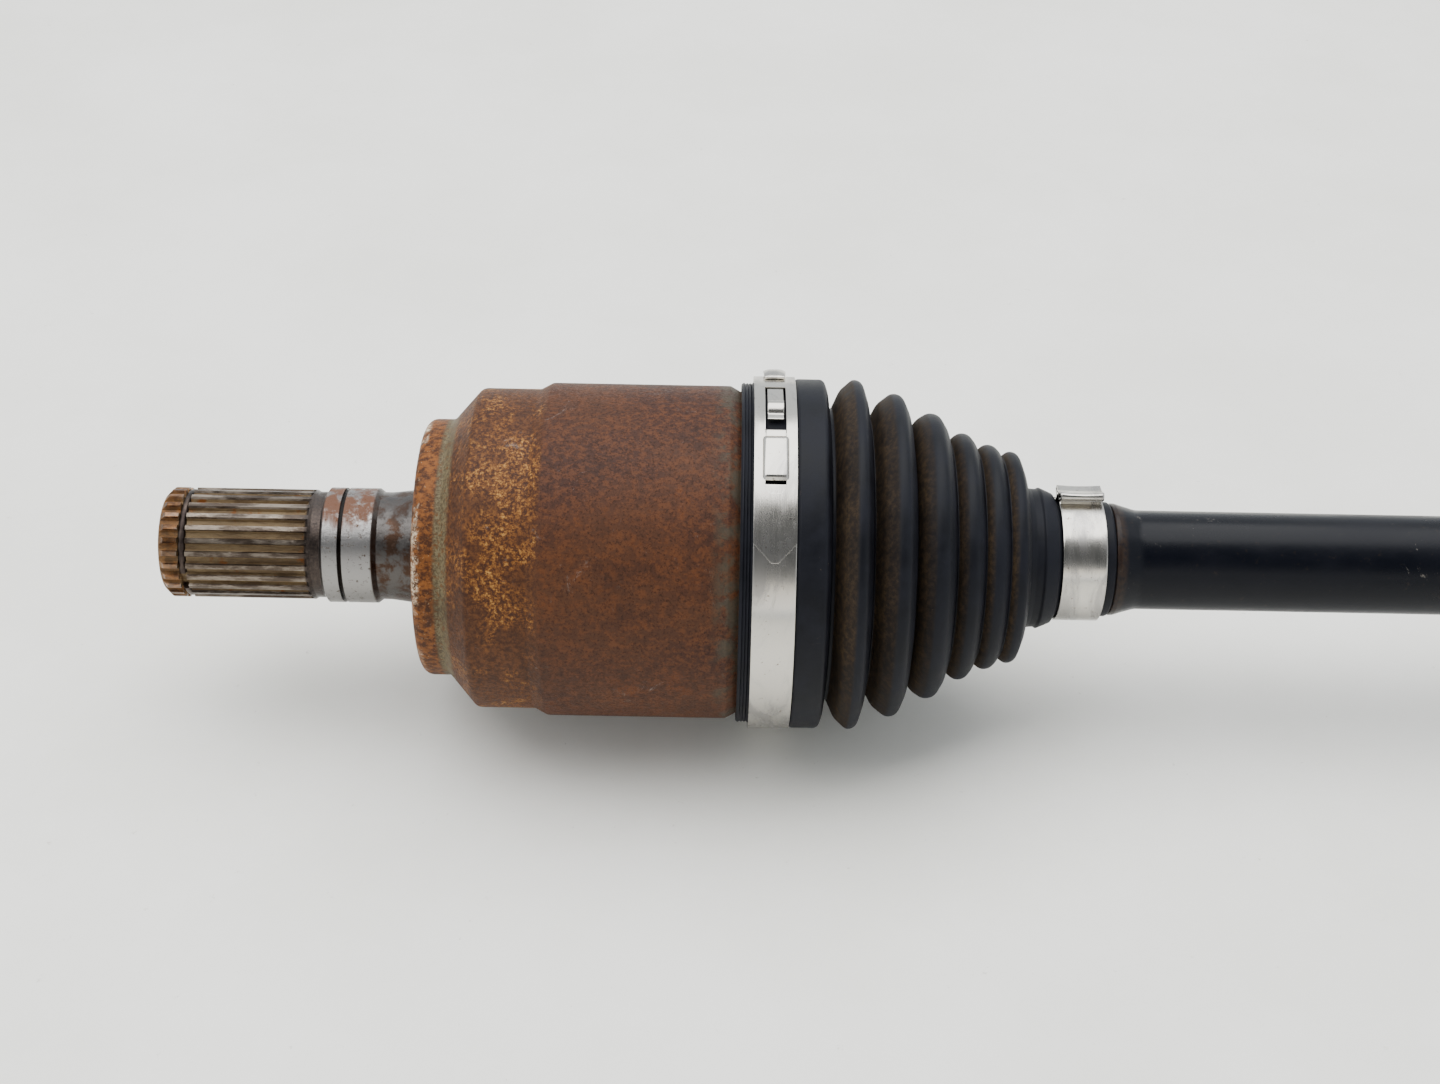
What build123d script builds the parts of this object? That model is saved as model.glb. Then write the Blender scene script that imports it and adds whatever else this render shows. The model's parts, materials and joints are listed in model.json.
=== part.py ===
from build123d import *
from math import asin, ceil, cos, floor, pi, radians, sin, sqrt, tan
import os

# A front-wheel half shaft with a tripod joint at the gearbox end and a ball joint at the wheel end.
# Lengths are in millimetres. The axle lies along X with +Z up, and the origin is on its axis, at the
# middle of the plain journal that the gearbox seal and bearing run on. -X is the gearbox end.
# Radii are measured from the axle's axis. Angles round the axle start at the front (-Y) and rise
# towards the top (+Z).

# ---- clearances ----
rubber_gap = 0.1            # between a boot and the metal that it sits on, or the band over it
running_gap = 0.15          # between balls, cage and races
spline_gap = 0.05           # between a splined shaft and its hub, on each flank
needle_gap = 0.02           # between needles and the trunnion inside them
face_gap = 0.1              # between faces that stand side by side along the axle
slot_clearance = 0.7        # each side of a roller: it takes up the spider's small orbit
track_clearance = 1.1       # round each ball: it takes up the sideways play of a bent joint
cavity_clearance = 0.5      # between moving pieces and the walls of the inner housing

# ---- small edges ----
edge_break = 0.6            # chamfer on turned edges
fine_rounding = 0.4
soft_rounding = 1.0
past = 1.0                  # how far a cut runs past the face that it opens

# ---- inner stub: spline, seal journal and relief ----
spline_radius = 13.9
spline_root_radius = 12.6
spline_teeth = 26
spline_length = 37.0
spline_run_out = 2.4
stub_chamfer = 1.5
ring_groove_from_end = 4.9
ring_groove_radius = 11.6
ring_wire_radius = 0.9
ring_gap_angle = 24.0
neck_radius = 13.4
neck_length = 3.9
journal_radius = 14.55
journal_length = 12.1
journal_groove_from_start = 3.8
journal_groove_width = 1.0
journal_groove_depth = 0.5
relief_radius = 13.6
relief_length = 3.4
flare_radius = 14.6
flare_length = 9.0
flare_rounding = 8.0
flare_rise = 1.5            # from the flare to the foot of the boss
neck_taper = 0.8
relief_taper = 1.2

# ---- inner housing ----
boss_radius = 32.4
boss_length = 6.9
boss_rounding = 2.4
cone_length = 7.0
rear_radius = 40.4
rear_length = 14.4
rear_rounding = 2.0
step_length = 3.1
body_radius = 42.05
body_length = 44.5
mouth_chamfer = 2.6
seat_step = 1.45            # the boot seat is this much smaller than the body
seat_length = 19.5
cavity_from_boss = 22.0
slot_rounding = 4.0

# ---- tripod ----
joint_from_mouth = 30.0
plunge = 12.0               # travel each way of the spider in the housing
inner_bend = 16.0           # degrees
trunnion_circle = 25.0      # radius at which the rollers sit
trunnion_radius = 8.5
trunnion_tip_land = 1.0      # beyond the snap ring's groove
trunnion_tip_chamfer = 0.6
trunnion_foot = 2.5         # the trunnion's foot is this much larger in radius
trunnion_foot_gap = 1.0     # between the foot and the roller
trunnion_foot_taper = 0.8
needle_end_gap = 0.2        # at each end of a needle
washer_lap = 1.0            # of the needle washer over the roller
spider_hub_radius = 15.5
spider_hub_length = 22.0
roller_radius = 16.0
roller_width = 11.0
needle_radius = 1.0
washer_thickness = 0.8
trunnion_ring_thickness = 1.0
trunnion_ring_width = 2.2
trunnion_groove_depth = 0.7

# ---- bar shaft ----
joint_spacing = 432.0       # between the centres of the two joints at rest
shaft_spline_radius = 10.6
shaft_root_radius = 9.7
shaft_teeth = 24
shaft_neck_radius = 11.0
boot_seat_radius = 12.3
collar_radius = 14.2
collar_length = 6.7
bar_radius = 12.55
collar_land = 1.2
collar_fall_rounding = 6.0
boot_seat_lead = 4.0        # the boot seat starts this far inside the band
boot_seat_taper = 8.0
boot_seat_rounding = 2.0
shaft_chamfer = 0.8
circlip_thickness = 1.2
circlip_width = 2.5
circlip_groove_depth = 0.5
circlip_end_land = 1.8

# ---- ball joint ----
ball_radius = 8.73
ball_circle = 30.0
balls = 6
cage_middle_radius = 29.0
cage_thickness = 5.9
cage_half_length = 11.0
cage_window_rounding = 3.0
race_half_length = 11.0
bell_mouth = 15.0           # from the joint's centre back to the bell's mouth
bell_wall = 5.2             # outside the ball tracks
bell_seat_step = 2.8
bell_straight = 12.0
shoulder_from_centre = 42.0
shoulder_radius = 24.0
shoulder_length = 5.0
shoulder_cone_length = 4.0
shoulder_cone_rise = 8.0
shoulder_cone_rounding = 10.0
shoulder_foot_rounding = 2.5
bell_rounding = 12.0
shoulder_rounding = 0.8
shoulder_washer_thickness = 2.5
shoulder_washer_radius = 21.0
outer_spline_length = 36.0
outer_spline_lead = 3.0     # plain shaft between the washer and the spline
outer_spline_radius = 13.9
outer_root_radius = 12.6
outer_teeth = 26
thread_radius = 12.0
thread_pitch = 1.5
thread_length = 24.0
thread_relief_length = 3.0
thread_depth = 0.92
thread_crest = 0.06         # half the width of a crest, as a share of the pitch
outer_tip_length = 7.0
outer_tip_radius = 10.0

# ---- boots ----
lip_length = 2.9
boot_wall = 2.2
band_land_extra = 0.1       # the boot is this much thicker under the large band
cuff_height = 1.2
inner_cuff_length = 7.9
outer_cuff_length = 3.2
inner_bellows_length = 51.2
outer_bellows_length = 68.0
bellows_end_radius = 17.5
boot_neck_length = 7.5
boot_neck_radius = 16.3
small_wall = 2.05
small_lip_length = 2.5
small_bore_lead = 2.0       # the bore is straight from this far inside the band
crest_wall = 4.0            # radial wall at a crest, which keeps the steep flanks thick enough
valley_wall = 1.8
crest_land = 3.0            # width of each crest before it is rounded
crest_rounding = 1.4
cuff_rounding = 1.8
# Crest and following valley of each fold: place along the bellows, as a share of its length, and
# height, as a share of the rise from the small end to the cuff.
folds = [
    (0.148, 1.01, 0.213, 0.615),
    (0.342, 0.885, 0.420, 0.535),
    (0.522, 0.705, 0.612, 0.41),
    (0.676, 0.52, 0.752, 0.33),
    (0.803, 0.415, 0.872, 0.28),
    (0.922, 0.355, 1.000, 0.00),
]
first_valley_start = 0.008
first_valley_end = 0.025
first_valley_height = 0.73

# ---- bands ----
large_band_width = 10.4
large_band_thickness = 0.7
small_band_width = 11.1
small_band_thickness = 0.6
hook_angles = (117, 130)
hook_height = 1.3
hook_width = 4.6
window_angles = (62, 108)
window_width = 4.4
ear_angle = 115.0
ear_height = 4.4
ear_width = 8.4
ear_waist = 0.8             # width of the ear's foot, as a share of its top's
ear_rounding = 1.6

# ---- places along the axle ----
x_journal = -journal_length / 2
x_neck = x_journal - neck_length
x_stub_end = x_neck - spline_length
x_relief = journal_length / 2
x_flare = x_relief + relief_length
x_boss = x_flare + flare_length
x_cone = x_boss + boss_length
x_rear = x_cone + cone_length
x_step = x_rear + rear_length
x_body = x_step + step_length
x_body_end = x_body + body_length
x_seat = x_body_end + mouth_chamfer
x_mouth = x_seat + seat_length
x_inner_joint = x_mouth - joint_from_mouth
x_outer_joint = x_inner_joint + joint_spacing
x_bell_mouth = x_outer_joint - bell_mouth

# ---- radii that follow from what fits inside ----
seat_radius = body_radius - seat_step
bell_radius = ball_circle + ball_radius + track_clearance + bell_wall
bell_seat_radius = bell_radius - bell_seat_step
needle_circle = trunnion_radius + needle_gap + needle_radius
roller_bore = needle_circle + needle_radius + needle_gap
race_radius = cage_middle_radius - cage_thickness / 2 - running_gap
bell_sphere_radius = cage_middle_radius + cage_thickness / 2 + running_gap

# The outer boot's clamp land ends where the bell's shoulder starts.
outer_seat_length = lip_length + large_band_width + face_gap
x_outer_lip = x_bell_mouth + outer_seat_length - face_gap
inner_boot_length = (lip_length + large_band_width + inner_cuff_length + inner_bellows_length
                     + boot_neck_length + small_band_width + small_lip_length)
outer_boot_length = (lip_length + large_band_width + outer_cuff_length + outer_bellows_length
                     + boot_neck_length + small_band_width + small_lip_length)
x_inner_lip = x_seat + rubber_gap
x_inner_boot_end = x_inner_lip + inner_boot_length
x_outer_boot_end = x_outer_lip - outer_boot_length

across = Plane(origin=(0, 0, 0), x_dir=(0, 1, 0), z_dir=(1, 0, 0))     # looks along the axle
trunnion_angles = (0, 120, 240)                                        # turned about X from +Z


def outline(points):
    """A closed face from (x, y) or (x, y, corner rounding) points."""
    corners = [point[:2] for point in points]
    rounds = [point[2] if len(point) > 2 else 0 for point in points]
    return make_face(FilletPolyline(*corners, radius=rounds, close=True))


def turned(points, arc=360.0):
    """A solid turned about the axle from its outline."""
    return revolve(outline(points), Axis.X, revolution_arc=arc)


def ring(start, end, inner, outer, arc=360.0):
    """A plain ring about the axle, or an arc of one."""
    return turned([(start, inner), (end, inner), (end, outer), (start, outer)], arc)


def ring_part(start, end, inner, outer, low_angle, high_angle):
    """Part of a ring, between two angles from the front towards the top."""
    return Rot(X=180 - high_angle) * ring(start, end, inner, outer, high_angle - low_angle)


def spline_gaps(major, root, teeth, start, end, run_out=0.0, grow=0.0):
    """The gaps between spline teeth. They fade out towards end over run_out."""
    pitch = 2 * pi * major / teeth
    top = major + past
    half_root = 0.16 * pitch - grow
    half_top = half_root + (top - root) * tan(radians(25))
    section = Polyline((-half_root, root + grow), (half_root, root + grow),
                       (half_top, top), (-half_top, top), close=True)
    gap = extrude(across.offset(start) * make_face(section), end - start)
    if run_out:
        ramp = Polyline((end - run_out, root), (end + past, root), (end + past, top), (end, top),
                        close=True)
        gap -= extrude(Plane.XZ * make_face(ramp), half_top * 2, both=True)
    return [Rot(X=360 * tooth / teeth) * gap for tooth in range(teeth)]


def splined_bar(major, root, teeth, start, end, grow=0.0):
    """A splined plug that cuts the matching bore when it is grown by a clearance."""
    bar = ring(start, end, 0, major + grow)
    return bar - spline_gaps(major, root, teeth, start - past, end + past, 0.0, grow)


# ---- inner joint ----

def inner_housing():
    x_ring = x_stub_end + ring_groove_from_end
    ring_width = 2 * (ring_wire_radius + face_gap)
    x_groove = x_journal + journal_groove_from_start
    groove_floor = journal_radius - journal_groove_depth
    solid = turned([
        (x_stub_end, 0),
        (x_stub_end, spline_radius - stub_chamfer),
        (x_stub_end + stub_chamfer, spline_radius, fine_rounding),
        (x_ring, spline_radius),
        (x_ring, ring_groove_radius),
        (x_ring + ring_width, ring_groove_radius),
        (x_ring + ring_width, spline_radius),
        (x_neck, spline_radius, fine_rounding),
        (x_neck + neck_taper, neck_radius, fine_rounding),
        (x_journal - neck_taper, neck_radius, fine_rounding),
        (x_journal, journal_radius),
        (x_groove, journal_radius),
        (x_groove, groove_floor),
        (x_groove + journal_groove_width, groove_floor),
        (x_groove + journal_groove_width, journal_radius),
        (x_relief, journal_radius),
        (x_relief + relief_taper, relief_radius, fine_rounding),
        (x_flare, relief_radius, flare_rounding),
        (x_boss - soft_rounding, flare_radius, soft_rounding),
        (x_boss, flare_radius + flare_rise, fine_rounding),
        (x_boss, boss_radius, boss_rounding),
        (x_cone, boss_radius, soft_rounding),
        (x_rear, rear_radius, rear_rounding),
        (x_step, rear_radius, soft_rounding),
        (x_body, body_radius, rear_rounding),
        (x_body_end, body_radius, soft_rounding),
        (x_seat, seat_radius, fine_rounding),
        (x_mouth - edge_break, seat_radius),
        (x_mouth, seat_radius - edge_break),
        (x_mouth, 0),
    ])
    solid -= spline_gaps(spline_radius, spline_root_radius, spline_teeth, x_stub_end - past,
                         x_neck + spline_run_out / 2, spline_run_out)
    return solid - housing_cavity()


def housing_cavity():
    """The bore and the three roller slots, sized so that the bent, plunged joint clears them."""
    bend = radians(inner_bend)
    half_width = roller_width / 2
    rim_radius = sqrt(roller_radius**2 - half_width**2)
    roller_reach = (trunnion_circle + half_width) * cos(bend) + rim_radius * sin(bend)
    tip_reach = trunnion_tip() * cos(bend) + trunnion_radius * sin(bend)
    slot_reach = max(roller_reach, tip_reach) + cavity_clearance
    slot_half = roller_radius + slot_clearance
    shaft_swing = (joint_from_mouth + plunge) * tan(bend) + shaft_neck_radius / cos(bend)
    start = x_boss + cavity_from_boss
    section = FilletPolyline((-slot_half, 0), (-slot_half, slot_reach), (slot_half, slot_reach),
                             (slot_half, 0), radius=(0, slot_rounding, slot_rounding, 0), close=True)
    slot = extrude(across.offset(start) * make_face(section), x_mouth + past - start)
    bore = ring(start, x_mouth + past, 0, shaft_swing + cavity_clearance)
    return bore + [Rot(X=angle) * slot for angle in trunnion_angles]


def stub_snap_ring():
    """Round wire ring in the groove of the inner stub."""
    middle = x_stub_end + ring_groove_from_end + ring_wire_radius + face_gap
    circle_radius = ring_groove_radius + ring_wire_radius + face_gap / 2
    wire = Pos(middle, circle_radius) * Circle(ring_wire_radius)
    return Rot(X=200) * revolve(wire, Axis.X, revolution_arc=360 - ring_gap_angle)


def spider():
    half_hub = spider_hub_length / 2
    hub = turned([(-half_hub, 0), (-half_hub, spider_hub_radius, soft_rounding),
                  (half_hub, spider_hub_radius, soft_rounding), (half_hub, 0)])
    for angle in trunnion_angles:
        hub += Rot(X=angle) * trunnion()
    hub -= splined_bar(shaft_spline_radius, shaft_root_radius, shaft_teeth, -half_hub - past,
                       half_hub + past, spline_gap)
    return Pos(X=x_inner_joint) * hub


def on_trunnion_axis(points):
    """A solid turned about +Z, from (radius, height) points."""
    return revolve(Plane.XZ * outline(points), Axis.Z)


def washer_height():
    """Where the washer over a roller's needles starts."""
    return trunnion_circle + roller_width / 2 + face_gap


def trunnion_ring_height():
    """Where the snap ring over that washer starts."""
    return washer_height() + washer_thickness + face_gap / 2


def trunnion_tip():
    """Radius that the trunnions' ends stand at."""
    return trunnion_ring_height() + trunnion_ring_thickness + trunnion_tip_land


def trunnion():
    groove_start = trunnion_ring_height()
    groove_end = groove_start + trunnion_ring_thickness
    groove_radius = trunnion_radius - trunnion_groove_depth
    foot_height = trunnion_circle - roller_width / 2 - trunnion_foot_gap
    foot_radius = trunnion_radius + trunnion_foot
    root = (shaft_spline_radius + spider_hub_radius) / 2
    return on_trunnion_axis([
        (0, root),
        (foot_radius, root),
        (foot_radius, foot_height, soft_rounding),
        (trunnion_radius, foot_height + trunnion_foot_taper),
        (trunnion_radius, groove_start),
        (groove_radius, groove_start),
        (groove_radius, groove_end),
        (trunnion_radius, groove_end),
        (trunnion_radius, trunnion_tip() - trunnion_tip_chamfer),
        (trunnion_radius - trunnion_tip_chamfer, trunnion_tip()),
        (0, trunnion_tip()),
    ])


def roller():
    half_width = roller_width / 2
    block = on_trunnion_axis([(roller_bore, -half_width), (roller_radius, -half_width),
                              (roller_radius, half_width), (roller_bore, half_width)])
    return Pos(Z=trunnion_circle) * (block & Sphere(roller_radius))


def needle_set():
    """As many needles as fit round the trunnion, as one group of separate solids."""
    count = floor(pi / asin(needle_radius / needle_circle))
    length = roller_width - 2 * needle_end_gap
    middle = Pos(Z=trunnion_circle)
    return [middle * place * Cylinder(needle_radius, length)
            for place in PolarLocations(needle_circle, count)]


def needle_washer():
    low = washer_height()
    high = low + washer_thickness
    inner = trunnion_radius + needle_gap
    outer = roller_bore + washer_lap
    return on_trunnion_axis([(inner, low), (outer, low), (outer, high), (inner, high)])


def trunnion_snap_ring():
    low = trunnion_ring_height() + needle_gap
    high = trunnion_ring_height() + trunnion_ring_thickness - needle_gap
    inner = trunnion_radius - trunnion_groove_depth + needle_gap
    outer = inner + trunnion_ring_width
    profile = outline([(inner, low), (outer, low), (outer, high), (inner, high)])
    return revolve(Plane.XZ * profile, Axis.Z, revolution_arc=360 - ring_gap_angle)


def on_spider(pieces, angle):
    """Places a piece, or a group of them, on one trunnion of the spider."""
    place = Pos(X=x_inner_joint) * Rot(X=angle)
    if isinstance(pieces, list):
        return [place * piece for piece in pieces]
    return place * pieces


# ---- shaft ----

def circlip_place(hub_half_length):
    """Distance from a joint's centre to the near face of the circlip on the shaft's end."""
    return hub_half_length + face_gap


def shaft_end_length(hub_half_length):
    """Distance from a joint's centre to the shaft's end."""
    return circlip_place(hub_half_length) + circlip_thickness + face_gap + circlip_end_land


def shaft_end_points(hub_half_length, boot_end, direction, joint):
    """The outline of one end of the shaft, from its tip to the full bar."""
    groove_near = circlip_place(hub_half_length) - face_gap / 2
    groove_far = groove_near + circlip_thickness + face_gap
    tip = shaft_end_length(hub_half_length)
    groove_radius = shaft_root_radius - circlip_groove_depth
    seat_start = boot_end - direction * (small_lip_length + small_band_width + boot_seat_lead)
    collar = boot_end + direction * face_gap
    shoulder = joint + direction * (hub_half_length + face_gap)
    return [
        (joint - direction * tip, 0),
        (joint - direction * tip, shaft_spline_radius - shaft_chamfer),
        (joint - direction * (tip - shaft_chamfer), shaft_spline_radius),
        (joint - direction * groove_far, shaft_spline_radius),
        (joint - direction * groove_far, groove_radius),
        (joint - direction * groove_near, groove_radius),
        (joint - direction * groove_near, shaft_spline_radius),
        (shoulder, shaft_spline_radius),
        (shoulder, shaft_neck_radius),
        (seat_start - direction * boot_seat_taper, shaft_neck_radius, boot_seat_rounding),
        (seat_start, boot_seat_radius, boot_seat_rounding),
        (collar, boot_seat_radius),
        (collar, collar_radius, fine_rounding),
        (collar + direction * collar_land, collar_radius, soft_rounding),
        (collar + direction * collar_length, bar_radius, collar_fall_rounding),
    ]


def bar_shaft():
    inner_half = spider_hub_length / 2
    inner_end = shaft_end_points(inner_half, x_inner_boot_end, 1, x_inner_joint)
    outer_end = shaft_end_points(race_half_length, x_outer_boot_end, -1, x_outer_joint)
    solid = turned(inner_end + outer_end[::-1])
    inner_tip = x_inner_joint - shaft_end_length(inner_half)
    outer_tip = x_outer_joint + shaft_end_length(race_half_length)
    solid -= spline_gaps(shaft_spline_radius, shaft_root_radius, shaft_teeth, inner_tip - past,
                         x_inner_joint + inner_half)
    solid -= spline_gaps(shaft_spline_radius, shaft_root_radius, shaft_teeth,
                         x_outer_joint - race_half_length, outer_tip + past)
    return solid


def circlip(joint, hub_half_length, direction):
    """The ring that keeps a joint's hub on the shaft."""
    near = joint + direction * circlip_place(hub_half_length)
    far = near + direction * circlip_thickness
    inner = shaft_root_radius - circlip_groove_depth + face_gap
    start, end = sorted((near, far))
    return ring(start, end, inner, inner + circlip_width, 360 - ring_gap_angle)


# ---- ball joint ----

def ball_tracks():
    """Round tracks in planes through the axle, one ring for each opposite pair of balls."""
    track = Torus(ball_circle, ball_radius + track_clearance)
    return [Rot(X=360 * pair / balls) * track for pair in range(ceil(balls / 2))]


def inner_race():
    plug = splined_bar(shaft_spline_radius, shaft_root_radius, shaft_teeth,
                       -race_half_length - past, race_half_length + past, spline_gap)
    race = Sphere(race_radius) & ring(-race_half_length, race_half_length, 0, race_radius + past)
    return Pos(X=x_outer_joint) * (race - ball_tracks() - plug)


def ball_cage():
    outer = cage_middle_radius + cage_thickness / 2
    inner = cage_middle_radius - cage_thickness / 2
    strip = Pos(Y=outer) * Rectangle(2 * cage_half_length, 2 * outer)
    shell = revolve((Circle(outer) - Circle(inner)) & strip, Axis.X)
    window_length = 2 * (ball_radius + track_clearance)
    window_width = 2 * (ball_radius + needle_gap)
    window = extrude(RectangleRounded(window_width, window_length, cage_window_rounding), outer + past)
    shell -= [Rot(X=90 + 360 * ball / balls) * window for ball in range(balls)]
    return Pos(X=x_outer_joint) * shell


def ball(number):
    return Pos(X=x_outer_joint) * Rot(X=360 * number / balls) * Pos(Y=ball_circle) * Sphere(ball_radius)


def thread_points(start):
    """Thread crests as rings, from start outwards."""
    points = []
    for turn in range(floor(thread_length / thread_pitch)):
        crest = start + turn * thread_pitch
        points.append((crest + thread_pitch * thread_crest, thread_radius))
        points.append((crest + thread_pitch / 2, thread_radius - thread_depth))
        points.append((crest + thread_pitch * (1 - thread_crest), thread_radius))
    return points


def outer_bell():
    """Bell, splined stub and thread, measured from the ball joint's centre."""
    seat_end = outer_seat_length - bell_mouth
    spline_start = shoulder_from_centre + shoulder_washer_thickness + outer_spline_lead
    spline_end = spline_start + outer_spline_length
    relief_end = spline_end + thread_relief_length
    thread_end = relief_end + thread_length
    tip_end = thread_end + outer_tip_length
    thread_root = thread_radius - thread_depth
    shoulder_start = shoulder_from_centre - shoulder_length
    cone_start = shoulder_start - shoulder_cone_length
    solid = turned([
        (-bell_mouth, 0),
        (-bell_mouth, bell_seat_radius - edge_break),
        (-bell_mouth + edge_break, bell_seat_radius),
        (seat_end, bell_seat_radius),
        (seat_end, bell_radius, soft_rounding),
        (bell_straight, bell_radius, bell_rounding),
        (cone_start, shoulder_radius + shoulder_cone_rise, shoulder_cone_rounding),
        (shoulder_start, shoulder_radius, shoulder_foot_rounding),
        (shoulder_from_centre, shoulder_radius, fine_rounding),
        (shoulder_from_centre, outer_spline_radius, shoulder_rounding),
        (spline_end - edge_break, outer_spline_radius),
        (spline_end, outer_spline_radius - edge_break),
        (spline_end, thread_root, fine_rounding),
        (relief_end - thread_depth, thread_root),
        (relief_end, thread_radius),
        *thread_points(relief_end),
        (thread_end, thread_radius),
        (thread_end + soft_rounding, outer_tip_radius),
        (tip_end - soft_rounding, outer_tip_radius),
        (tip_end, outer_tip_radius - soft_rounding),
        (tip_end, 0),
    ])
    solid -= Sphere(bell_sphere_radius)
    solid -= ball_tracks()
    gaps = spline_gaps(outer_spline_radius, outer_root_radius, outer_teeth, -spline_end - past,
                       -spline_start, spline_run_out)
    solid -= [mirror(gap, Plane.YZ) for gap in gaps]
    return Pos(X=x_outer_joint) * solid


def shoulder_washer():
    start = shoulder_from_centre + face_gap
    end = start + shoulder_washer_thickness
    inner = outer_spline_radius + shoulder_rounding + face_gap
    washer = turned([(start, inner), (start, shoulder_washer_radius, fine_rounding),
                     (end, shoulder_washer_radius, fine_rounding), (end, inner)])
    return Pos(X=x_outer_joint) * washer


# ---- boots and their bands ----

def boot(seat, cuff_length, bellows_length):
    """A bellows boot. Its large end's lip starts at 0 and the small end is towards +X."""
    bore = seat + rubber_gap
    lip_radius = bore + boot_wall
    land_radius = lip_radius + band_land_extra
    cuff_radius = lip_radius + cuff_height
    small_bore = boot_seat_radius + rubber_gap
    small_radius = small_bore + small_wall
    rise = cuff_radius - bellows_end_radius
    land_end = lip_length + large_band_width
    bellows = land_end + cuff_length
    neck = bellows + bellows_length
    small_land = neck + boot_neck_length
    small_lip = small_land + small_band_width
    end = small_lip + small_lip_length

    def place(share, height):
        return bellows + share * bellows_length, bellows_end_radius + height * rise

    outside = [(0, 0), (0, lip_radius, fine_rounding), (lip_length, lip_radius), (lip_length, land_radius),
               (land_end, land_radius), (land_end, cuff_radius), (bellows, cuff_radius, cuff_rounding),
               place(first_valley_start, first_valley_height),
               place(first_valley_end, first_valley_height)]
    inside_valley = place(first_valley_start, first_valley_height)[1] - valley_wall
    inside = [(-past, 0), (-past, bore), (bellows - valley_wall, bore),
              (bellows - valley_wall / 2, inside_valley)]
    for crest_at, crest_height, valley_at, valley_height in folds:
        crest_x, crest_radius = place(crest_at, crest_height)
        valley_x, valley_radius = place(valley_at, valley_height)
        outside.append((crest_x - crest_land / 2, crest_radius, crest_rounding))
        outside.append((crest_x + crest_land / 2, crest_radius, crest_rounding))
        outside.append((valley_x, valley_radius))
        inside.append((crest_x, crest_radius - crest_wall))
        inside.append((valley_x, valley_radius - valley_wall))
    outside += [(small_land, boot_neck_radius, fine_rounding), (small_land, small_radius),
                (small_lip, small_radius), (end, small_radius, fine_rounding), (end, 0)]
    inside += [(small_land - small_bore_lead, small_bore), (end + past, small_bore), (end + past, 0)]
    return turned(outside) - turned(inside)


def large_band(seat):
    """A low-profile band: the closed ring, the window for its tongue, and the hook."""
    inner = seat + rubber_gap + boot_wall + band_land_extra + rubber_gap
    outer = inner + large_band_thickness
    middle = large_band_width / 2
    band = ring(face_gap, large_band_width - face_gap, inner, outer)
    band -= ring_part(middle - window_width / 2, middle + window_width / 2,
                      inner + large_band_thickness / 2, outer + past, *window_angles)
    band += ring_part(middle - hook_width / 2, middle + hook_width / 2, inner,
                      outer + hook_height, *hook_angles)
    return band


def small_band():
    """A pinch band with one raised ear."""
    inner = boot_seat_radius + rubber_gap + small_wall + rubber_gap
    outer = inner + small_band_thickness
    middle = small_band_width / 2
    band = ring(face_gap, small_band_width - face_gap, inner, outer)
    sheet = small_band_thickness * 1.5
    half = ear_width / 2
    top = outer + ear_height
    foot = half * ear_waist
    face = outline([(-foot, inner + sheet / 2), (-half, top, ear_rounding),
                    (half, top, ear_rounding), (foot, inner + sheet / 2)])
    face -= outline([(-foot + sheet, outer), (-half + sheet, top - sheet, fine_rounding),
                     (half - sheet, top - sheet, fine_rounding), (foot - sheet, outer)])
    ear = extrude(across.offset(face_gap) * face, 2 * (middle - face_gap))
    return band + Rot(X=90 - ear_angle) * ear


def at_inner_boot(piece):
    return Pos(X=x_inner_lip) * piece


def at_outer_boot(piece):
    return Pos(X=x_outer_lip) * mirror(piece, Plane.YZ)


def save(name, pieces):
    """Writes one node. A list becomes a group of separate solids."""
    shape = Compound(children=pieces) if isinstance(pieces, list) else pieces
    export_step(shape, f"parts/{name}.step")


def main():
    os.makedirs("parts", exist_ok=True)
    inner_small_at = inner_boot_length - small_lip_length - small_band_width
    outer_small_at = outer_boot_length - small_lip_length - small_band_width
    save("inner_housing", inner_housing())
    save("stub_snap_ring", stub_snap_ring())
    save("spider", spider())
    for number, angle in enumerate(trunnion_angles, 1):
        save(f"roller_{number}", on_spider(roller(), angle))
        save(f"needles_{number}", on_spider(needle_set(), angle))
        save(f"needle_washer_{number}", on_spider(needle_washer(), angle))
        save(f"trunnion_ring_{number}", on_spider(trunnion_snap_ring(), angle))
    save("spider_circlip", circlip(x_inner_joint, spider_hub_length / 2, -1))
    save("bar_shaft", bar_shaft())
    save("race_circlip", circlip(x_outer_joint, race_half_length, 1))
    save("inner_race", inner_race())
    save("ball_cage", ball_cage())
    for number in range(balls):
        save(f"ball_{number + 1}", ball(number))
    save("outer_bell", outer_bell())
    save("shoulder_washer", shoulder_washer())
    save("inner_boot", at_inner_boot(boot(seat_radius, inner_cuff_length, inner_bellows_length)))
    save("inner_large_band", at_inner_boot(Pos(X=lip_length) * large_band(seat_radius)))
    save("inner_small_band", at_inner_boot(Pos(X=inner_small_at) * small_band()))
    save("outer_boot", at_outer_boot(boot(bell_seat_radius, outer_cuff_length,
                                          outer_bellows_length)))
    save("outer_large_band", at_outer_boot(Pos(X=lip_length) * large_band(bell_seat_radius)))
    save("outer_small_band", at_outer_boot(Pos(X=outer_small_at) * small_band()))


main()
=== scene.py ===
import json
from math import cos, pi, radians, sin, sqrt, tan

import bmesh
import bpy
from mathutils import Matrix, Vector


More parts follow.
